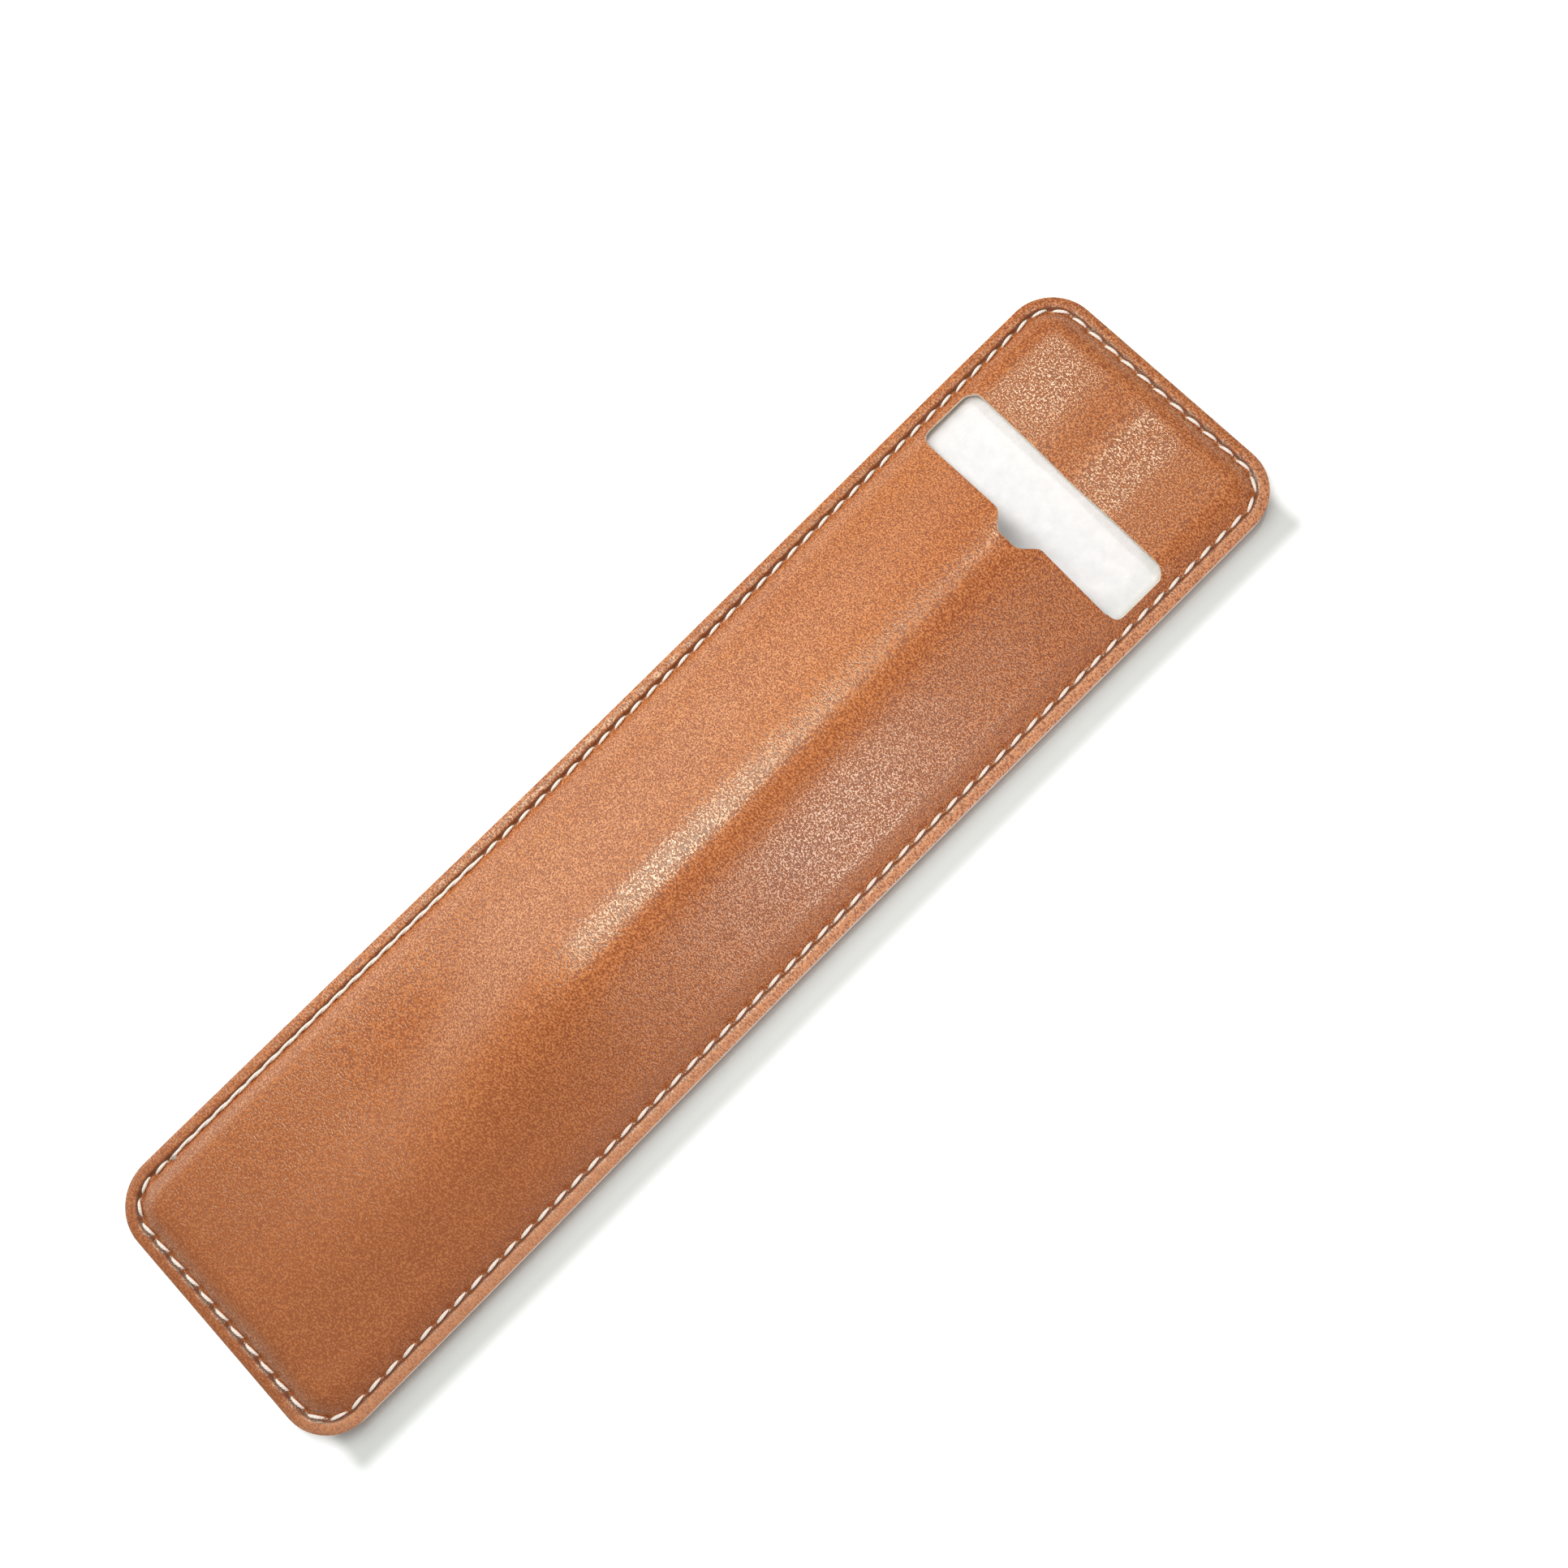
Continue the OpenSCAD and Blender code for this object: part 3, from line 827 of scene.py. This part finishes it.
# scale is that of the fibres, and depth how far they stand out
fibreFinishes = {
    "cutEdge": {"dark": srgb(232, 208, 178), "light": srgb(252, 240, 222), "toneScale": 700,
                "scale": 5200, "depth": 0.00004, "roughness": 0.85, "sheen": 0},
    "clothBacking": {"dark": srgb(214, 200, 176), "light": srgb(240, 230, 212), "toneScale": 300,
                     "scale": 3200, "depth": 0.00005, "roughness": 0.85, "sheen": 0},
    "brushedLining": {"dark": srgb(240, 242, 241), "light": srgb(252, 253, 252), "toneScale": 500,
                      "scale": 4200, "depth": 0.00005, "roughness": 0.95, "sheen": 0.2},
    "greyBoard": {"dark": srgb(150, 138, 120), "light": srgb(186, 172, 150), "toneScale": 200,
                  "scale": 1800, "depth": 0.00004, "roughness": 0.85, "sheen": 0},
    "sealedThread": {"dark": srgb(132, 112, 96), "light": srgb(186, 170, 152), "toneScale": 900,
                     "scale": 3000, "depth": 0.00005, "roughness": 0.8, "sheen": 0},
}


def fibreMaterial(name):
    look = fibreFinishes[name]
    material, shader, desk = newMaterial(name, look["light"])
    spot = desk.add("ShaderNodeTexCoord", (-1200, 0)).outputs["Object"]
    tone = desk.group((-900, 300), mottle, spot, Scale=look["toneScale"],
                      Dark=look["dark"], Light=look["light"])
    nap = desk.group((-900, -100), fibres, spot, Scale=look["scale"]).outputs["Height"]
    # painted shade: the hollows between the fibres are painted darker
    hollows = desk.ramp((-650, 0), nap, fibreLook["hollow"], (fibreLook["hollowShare"], 0))
    colour = desk.mixed((-400, 200), hollows, tone.outputs["Color"], look["dark"])
    desk.link(colour, shader.inputs["Base Color"])
    desk.bump((-300, -200), nap, shader, fibreLook["bump"], look["depth"])
    shader.inputs["Roughness"].default_value = look["roughness"]
    shader.inputs["Sheen Weight"].default_value = look["sheen"]
    shader.inputs["Sheen Roughness"].default_value = fibreLook["sheenRoughness"]
    return material


threadLook = {
    "low": srgb(250, 236, 216),
    "high": srgb(255, 251, 242),
    "shown": srgb(250, 240, 224),       # in the viewport
    "twist": 1.1,             # turns of the plies in a millimetre
    "plies": 2,
    "bump": 0.6,
    "depth": 0.00006,
    "roughness": 0.55,
    "sheen": 0.2,
}


def threadMaterial():
    # twisted plies: the map's u runs round the thread and v along it in millimetres
    look = threadLook
    material, shader, desk = newMaterial("waxedThread", look["shown"])
    threadMap = desk.add("ShaderNodeUVMap", (-1200, 0), uv_map="threadMap")
    parts = desk.add("ShaderNodeSeparateXYZ", (-1000, 0))
    desk.link(threadMap.outputs["UV"], parts.inputs[0])
    along = desk.reckon((-800, -100), "MULTIPLY", parts.outputs["Y"], look["twist"])
    turned = desk.reckon((-600, 0), "ADD", parts.outputs["X"], along)
    angle = desk.reckon((-400, 0), "MULTIPLY", turned, 2 * math.pi * look["plies"])
    ply = desk.ramp((-80, 0), desk.reckon((-250, 0), "SINE", angle), (-1, 1))
    desk.link(desk.mixed((120, 200), ply, look["low"], look["high"]), shader.inputs["Base Color"])
    desk.bump((120, -200), ply, shader, look["bump"], look["depth"])
    shader.inputs["Roughness"].default_value = look["roughness"]
    shader.inputs["Sheen Weight"].default_value = look["sheen"]
    return material


leather = tanLeather()
cutEdge = fibreMaterial("cutEdge")
clothBacking = fibreMaterial("clothBacking")
brushedLining = fibreMaterial("brushedLining")
greyBoard = fibreMaterial("greyBoard")
thread = threadMaterial()
sealedThread = fibreMaterial("sealedThread")
print("materials made")

# Front leather and its cloth backing
fineColumns, fineRows = netColumns(netSteps["across"]), netRows(netSteps["along"])
topFace = layOut(fineColumns, fineRows, ringInsets["top"])
lowFace = layOut(fineColumns, fineRows, ringInsets["low"])
frontLeather = sheetObject("frontLeather", lowFace, cutLeaned(topFace), frontLeatherUnderZ, frontLeatherZ,
                           [leather, cutEdge, clothBacking])
backingFace = layOut(fineColumns, netRows(netSteps["backing"]), ringInsets["low"], doubled=False)
frontBacking = sheetObject("frontBacking", backingFace, backingFace, frontUnderZ, frontBackingZ,
                           [clothBacking])
print("front made,", len(frontLeather.data.polygons), "faces")

# Back: lining over the board, and the back leather
plainColumns, plainRows = netColumns(netSteps["plain"]), netRows(netSteps["plain"])
liningFace = layOut(plainColumns, plainRows, ringInsets["lining"], withWindow=False, doubled=False)
backLining = sheetObject("backLining", liningFace, liningFace, liningUnderZ, liningZ, [brushedLining])
backTop = layOut(fineColumns, plainRows, ringInsets["low"], withWindow=False)
backBottom = layOut(fineColumns, plainRows, ringInsets["top"], withWindow=False)
backLeather = sheetObject("backLeather", backBottom, backTop, backUnderZ, backOverZ,
                          [clothBacking, cutEdge, leather])
print("back made")


# Seam: one stitch is modelled and copied along the run

spindle = {
    "steps": 8,
    "sides": 8,
    "middle": 1.08,           # girth in the middle, and what it loses at the ends
    "taper": 0.6,
    "sink": 3.5,              # how suddenly the ends turn down
}
# dip is how far the ends sink, and below zero they rise into the back
stitchForms = {
    "singleStitch": {"length": 2.25, "dip": 0.44, "flat": 0.85, "girth": 1},
    "doubleStitch": {"length": 2.9, "dip": 0.16, "flat": 0.85, "girth": 0.88},
    "underSingle": {"length": 2.62, "dip": -0.25, "flat": 0.8, "girth": 1},
    "underDouble": {"length": 2.9, "dip": -0.12, "flat": 0.8, "girth": 1},
}
sewing = {
    "needleZ": -0.1,          # height of the thread over the leather's face
    "firstPassZ": -0.17,
    "bobbinZ": 0.22,          # height over the underside
    "aside": 0.1,             # the second pass lies a little to the outside
}
sealed = {
    "before": 0.22,           # how far before the start of the seam, in stitches,
    "inside": 0.3,            # and to the inside of it, in millimetres
    "z": -0.12,
    "r": 0.3,
    "shape": (1.2, 1.5, 0.6),
}


def modelStitch(name):
    # a round thread, drawn out by steps from one hole to the next and sinking at both
    form = stitchForms[name]
    steps, length, radius = spindle["steps"], form["length"], seam["threadD"] / 2 * form["girth"]
    def droop(t):
        return form["dip"] * abs(t) ** spindle["sink"]
    def at(k):
        t = 2 * k / steps - 1
        return Vector((length / 2 * t, 0, -droop(t))), spindle["middle"] - spindle["taper"] * t * t
    bpy.ops.object.select_all(action="DESELECT")
    start, thin = at(0)
    bpy.ops.mesh.primitive_circle_add(vertices=spindle["sides"], radius=radius * thin * mm,
                                      fill_type="NGON", location=start * mm,
                                      rotation=(0, math.pi / 2, 0))
    piece = bpy.context.object
    piece.name = name
    bpy.ops.object.transform_apply(location=True, rotation=True, scale=True)
    bpy.ops.object.mode_set(mode="EDIT")
    bpy.ops.mesh.select_all(action="SELECT")
    for k in range(steps):
        here, thinHere = at(k)
        there, thinThere = at(k + 1)
        bpy.ops.mesh.extrude_region_move(TRANSFORM_OT_translate={"value": (there - here) * mm})
        bpy.ops.transform.resize(value=(1, thinThere / thinHere, thinThere / thinHere),
                                 center_override=there * mm)
    bpy.ops.mesh.select_all(action="SELECT")
    bpy.ops.transform.resize(value=(1, 1, form["flat"]), center_override=(0, 0, 0))
    faceOutwards()
    bpy.ops.object.shade_smooth()
    layer = piece.data.uv_layers.active or piece.data.uv_layers.new()
    layer.name = "threadMap"
    for polygon in piece.data.polygons:
        rounds = []
        for loop in polygon.loop_indices:
            co = piece.data.vertices[piece.data.loops[loop].vertex_index].co / mm
            risen = co.z + droop(co.x / length * 2) * form["flat"]
            rounds.append((math.atan2(risen, co.y) / (2 * math.pi), co.x))
        most = max(u for u, v in rounds)
        for loop, (u, v) in zip(polygon.loop_indices, rounds):
            layer.data[loop].uv = (u + 1 if most - u > 0.5 else u, v)
    piece.data.materials.append(thread)
    return piece


def seamPlace(phase):
    # point of the seam and its heading, clockwise from the lower end of the left side
    r = case["cornerR"] - seam["inset"]
    a, b = straightX + r, straightY + r
    side, end, arc = 2 * straightY, 2 * straightX, math.pi * r / 2
    half = side + end + 2 * arc
    s = (phase / seamCount * 2 * half) % (2 * half)
    second = s >= half
    s -= half if second else 0
    if s < side:
        x, y, heading = -a, s - straightY, 90
    elif s < side + arc:
        t = (s - side) / r
        x, y, heading = r - a - r * math.cos(t), straightY + r * math.sin(t), 90 - math.degrees(t)
    elif s < side + arc + end:
        x, y, heading = s - side - arc - straightX, b, 0
    else:
        t = (s - side - arc - end) / r
        x, y, heading = a - r + r * math.sin(t), straightY + r * math.cos(t), -math.degrees(t)
    if second:
        x, y, heading = -x, -y, heading + 180
    return float(drawnIn(x, y)), y, heading


def joined(name, pieces):
    onlySelect(*pieces)
    bpy.ops.object.join()
    pieces[0].name = pieces[0].data.name = name
    return pieces[0]


def sew(name, template, places, z):
    # copies of a stitch at (phase, turn, aside), joined
    copies = []
    for phase, turn, aside in places:
        x, y, heading = seamPlace(phase)
        out = math.radians(heading + 90)
        spot = Vector((x + aside * math.cos(out), y + aside * math.sin(out), z)) * mm
        copy = template.copy()
        copy.data = template.data.copy()
        turned = Matrix.Rotation(math.radians(heading + turn), 4, "Z")
        copy.data.transform(Matrix.Translation(spot) @ turned)
        bpy.context.collection.objects.link(copy)
        copies.append(copy)
    return joined(name, copies)


def sealedEndAt(z):
    # the end of the thread, melted flat where the seam starts
    x, y, heading = seamPlace((seam["start"] - case["cornerR"]) / seam["pitch"] - sealed["before"])
    bpy.ops.mesh.primitive_ico_sphere_add(subdivisions=3, radius=sealed["r"] * mm, location=(0, 0, 0))
    piece = bpy.context.object
    bpy.ops.transform.resize(value=sealed["shape"])
    bpy.ops.transform.translate(value=((x + sealed["inside"]) * mm, y * mm, z * mm))
    bpy.ops.object.transform_apply(location=True, rotation=True, scale=True)
    bpy.ops.object.shade_smooth()
    piece.data.uv_layers.active.name = "threadMap"
    piece.data.materials.append(sealedThread)
    return piece


seamLength = 4 * (straightX + straightY) + 2 * math.pi * (case["cornerR"] - seam["inset"])
seamCount = round(seamLength / seam["pitch"])
topLeather = skinZ + layers["leatherT"]
single, double, underSingle, underDouble = [modelStitch(name) for name in stitchForms]
centres = [k + 0.5 for k in range(seamCount)]
onceSewn = [c for c in centres if not sewnTwice(c)]
twiceSewn = [c for c in centres if sewnTwice(c)]
twiceTurn = seam["turn"] * seam["twiceTurn"]
sealedEnd = sealedEndAt(topLeather + sealed["z"])
needleThread = joined("needleThread", [
    sew("stitches", single, [(c, seam["turn"], 0) for c in onceSewn], topLeather + sewing["needleZ"]),
    sew("firstPass", double, [(c, twiceTurn, 0) for c in twiceSewn], topLeather + sewing["firstPassZ"]),
    sew("secondPass", double, [(c + 0.5, twiceTurn, sewing["aside"]) for c in twiceSewn[:-1]],
        topLeather + sewing["needleZ"]),
    sealedEnd,
])
bobbinThread = joined("bobbinThread", [
    sew("underStitches", underSingle, [(c, 0, 0) for c in onceSewn], sewing["bobbinZ"]),
    sew("underPass", underDouble, [(c, 0, 0) for c in twiceSewn], sewing["bobbinZ"]),
])
for template in (single, double, underSingle, underDouble):
    bpy.data.objects.remove(template, do_unlink=True)
print("seam sewn,", seamCount, "stitches")

# What each piece stands for, rides on and is cut from
for piece, node, slot in (
    (frontLeather, "front_leather", "leather"), (frontBacking, "front_backing", "backing"),
    (backLining, "back_lining", "lining"), (backLeather, "back_leather", "leather"),
    (needleThread, "needle_thread", "thread"), (bobbinThread, "bobbin_thread", "thread"),
):
    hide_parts(node)
    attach(piece, "root")
board = bpy.data.objects["back_board"]
board.data.materials.clear()
board.data.materials.append(greyBoard)


# Table, lights and camera

tableLook = {
    "size": 6,
    "z": -0.00005,
    "colour": (0.718, 0.752, 0.72, 1),
    "shown": (0.9, 0.9, 0.9, 1),        # in the viewport
    "roughness": 0.9,
    "specular": 0.1,
    "paintedShadowShift": (0.003, 0, 0),       # painted shadow: the glow is held back more on the right,
    "paintedShadowShort": 0.003,               # and the band ends this far before the case's own ends
    "paintedShadowH": 0.001,
    "nearRun": (0, 0.0026),             # the glow rises once past the painted shadow beside the case
    "nearGlow": 0.45,
    "farRun": (0.05, 0.5),              # and again towards the horizon
    "farGlow": 0.55,
}


def tableMaterial():
    # a pale table that shows white to the camera; beside the case, most of all on its right, the glow is
    # held back, which keeps the real shadow and adds a painted shadow band
    look = tableLook
    material, shader, desk = newMaterial("paleTable", look["shown"])
    shader.inputs["Base Color"].default_value = look["colour"]
    shader.inputs["Roughness"].default_value = look["roughness"]
    shader.inputs["Specular IOR Level"].default_value = look["specular"]
    spot = desk.add("ShaderNodeTexCoord", (-1500, -600)).outputs["Object"]
    # the box round the case in which the glow is held back, for the painted shadow
    paintedShadowBox = (halfW * mm, halfL * mm - look["paintedShadowShort"], look["paintedShadowH"])
    shifted = desk.vector((-1400, -800), "SUBTRACT", spot, look["paintedShadowShift"]).outputs[0]
    away = desk.vector((-1300, -600), "ABSOLUTE", shifted).outputs[0]
    past = desk.vector((-1100, -600), "SUBTRACT", away, paintedShadowBox).outputs[0]
    ahead = desk.vector((-900, -600), "MAXIMUM", past, (0, 0, 0)).outputs[0]
    reach = desk.vector((-700, -600), "LENGTH", ahead).outputs["Value"]
    near = desk.ramp((-500, -600), reach, look["nearRun"], (0, look["nearGlow"]), smooth=True)
    far = desk.ramp((-500, -900), reach, look["farRun"], (0, look["farGlow"]))
    total = desk.reckon((-400, -700), "ADD", near, far)
    path = desk.add("ShaderNodeLightPath", (-600, -300)).outputs
    seen = desk.reckon((-400, -300), "MAXIMUM", path["Is Camera Ray"], path["Is Glossy Ray"])
    glow = desk.add("ShaderNodeEmission", (-200, -300))
    desk.link(desk.reckon((-300, -450), "MULTIPLY", seen, total), glow.inputs["Strength"])
    both = desk.add("ShaderNodeAddShader", (100, -100))
    desk.link(shader.outputs[0], both.inputs[0])
    desk.link(glow.outputs[0], both.inputs[1])
    output = next(n for n in material.node_tree.nodes if n.type == "OUTPUT_MATERIAL")
    desk.link(both.outputs[0], output.inputs["Surface"])
    return material


bpy.ops.object.select_all(action="DESELECT")
bpy.ops.mesh.primitive_plane_add(size=tableLook["size"], location=(0, 0, tableLook["z"]))
table = bpy.context.object
table.name = "table"
table.data.materials.append(tableMaterial())

studio = {
    "worldLevel": 0.3,        # light from all around; to the camera it is white
    "white": (1, 1, 1, 1),
}
world = bpy.context.scene.world or bpy.data.worlds.new("studio")
bpy.context.scene.world = world
world.use_nodes = True
worldDesk = NodeDesk(world.node_tree)
sky = world.node_tree.nodes["Background"]
sky.inputs["Color"].default_value = studio["white"]
ray = worldDesk.add("ShaderNodeLightPath", (-600, 0))
level = worldDesk.ramp((-300, 0), ray.outputs["Is Camera Ray"], to=(studio["worldLevel"], 1))
worldDesk.link(level, sky.inputs["Strength"])

# brightness is that of the lit rectangle itself, and turn is in its own plane
lamps = {
    "windowLight": {"place": (-0.71, -0.26, 0.2), "size": (0.9, 0.3), "turn": 0,
                    "brightness": 1.8, "colour": (1, 1, 1)},
    "keyLight": {"place": (-0.113, -0.008, 0.223), "size": (0.032, 0.22), "turn": 0.05,
                 "brightness": 20.5, "colour": (1, 1, 1)},
    "endLight": {"place": (-0.08, 0.17, 0.27), "size": (0.035, 0.035), "turn": 0,
                 "brightness": 32, "colour": (1, 1, 1)},
    "fillLight": {"place": (0.222, 0.034, 0.109), "size": (0.08, 0.03), "turn": 1.32,
                  "brightness": 21, "colour": (1, 0.76, 0.8)},
}


def softLight(name):
    # a rectangle aimed at the origin
    look = lamps[name]
    lamp = bpy.data.lights.new(name, "AREA")
    lamp.shape = "RECTANGLE"
    lamp.size, lamp.size_y = look["size"]
    lamp.energy = look["brightness"] * math.pi * look["size"][0] * look["size"][1]
    lamp.color = look["colour"]
    holder = bpy.data.objects.new(name, lamp)
    aimed = (-Vector(look["place"])).to_track_quat("-Z", "Y").to_matrix().to_4x4()
    turned = Matrix.Rotation(look["turn"], 4, "Z")
    holder.matrix_world = Matrix.Translation(look["place"]) @ aimed @ turned
    bpy.context.collection.objects.link(holder)


for name in lamps:
    softLight(name)

view = {
    "place": (0.040555, -0.002282, 0.212673),
    "right": (0.70144676, 0.70840283, -0.07834458),
    "up": (-0.68976511, 0.70241349, 0.17561146),
    "back": (0.17943394, -0.06914273, 0.98133722),
    "lens": 38.2,
    "sensor": 36,
    "near": 0.01,
}
camera = bpy.data.objects.new("camera", bpy.data.cameras.new("camera"))
camera.data.lens = view["lens"]
camera.data.sensor_width = view["sensor"]
camera.data.clip_start = view["near"]
bpy.context.collection.objects.link(camera)
turnedTo = Matrix((view["right"], view["up"], view["back"])).transposed().to_4x4()
camera.matrix_world = Matrix.Translation(view["place"]) @ turnedTo
bpy.context.scene.camera = camera
bpy.context.scene.view_settings.view_transform = "Standard"
print("table, lights and camera placed")
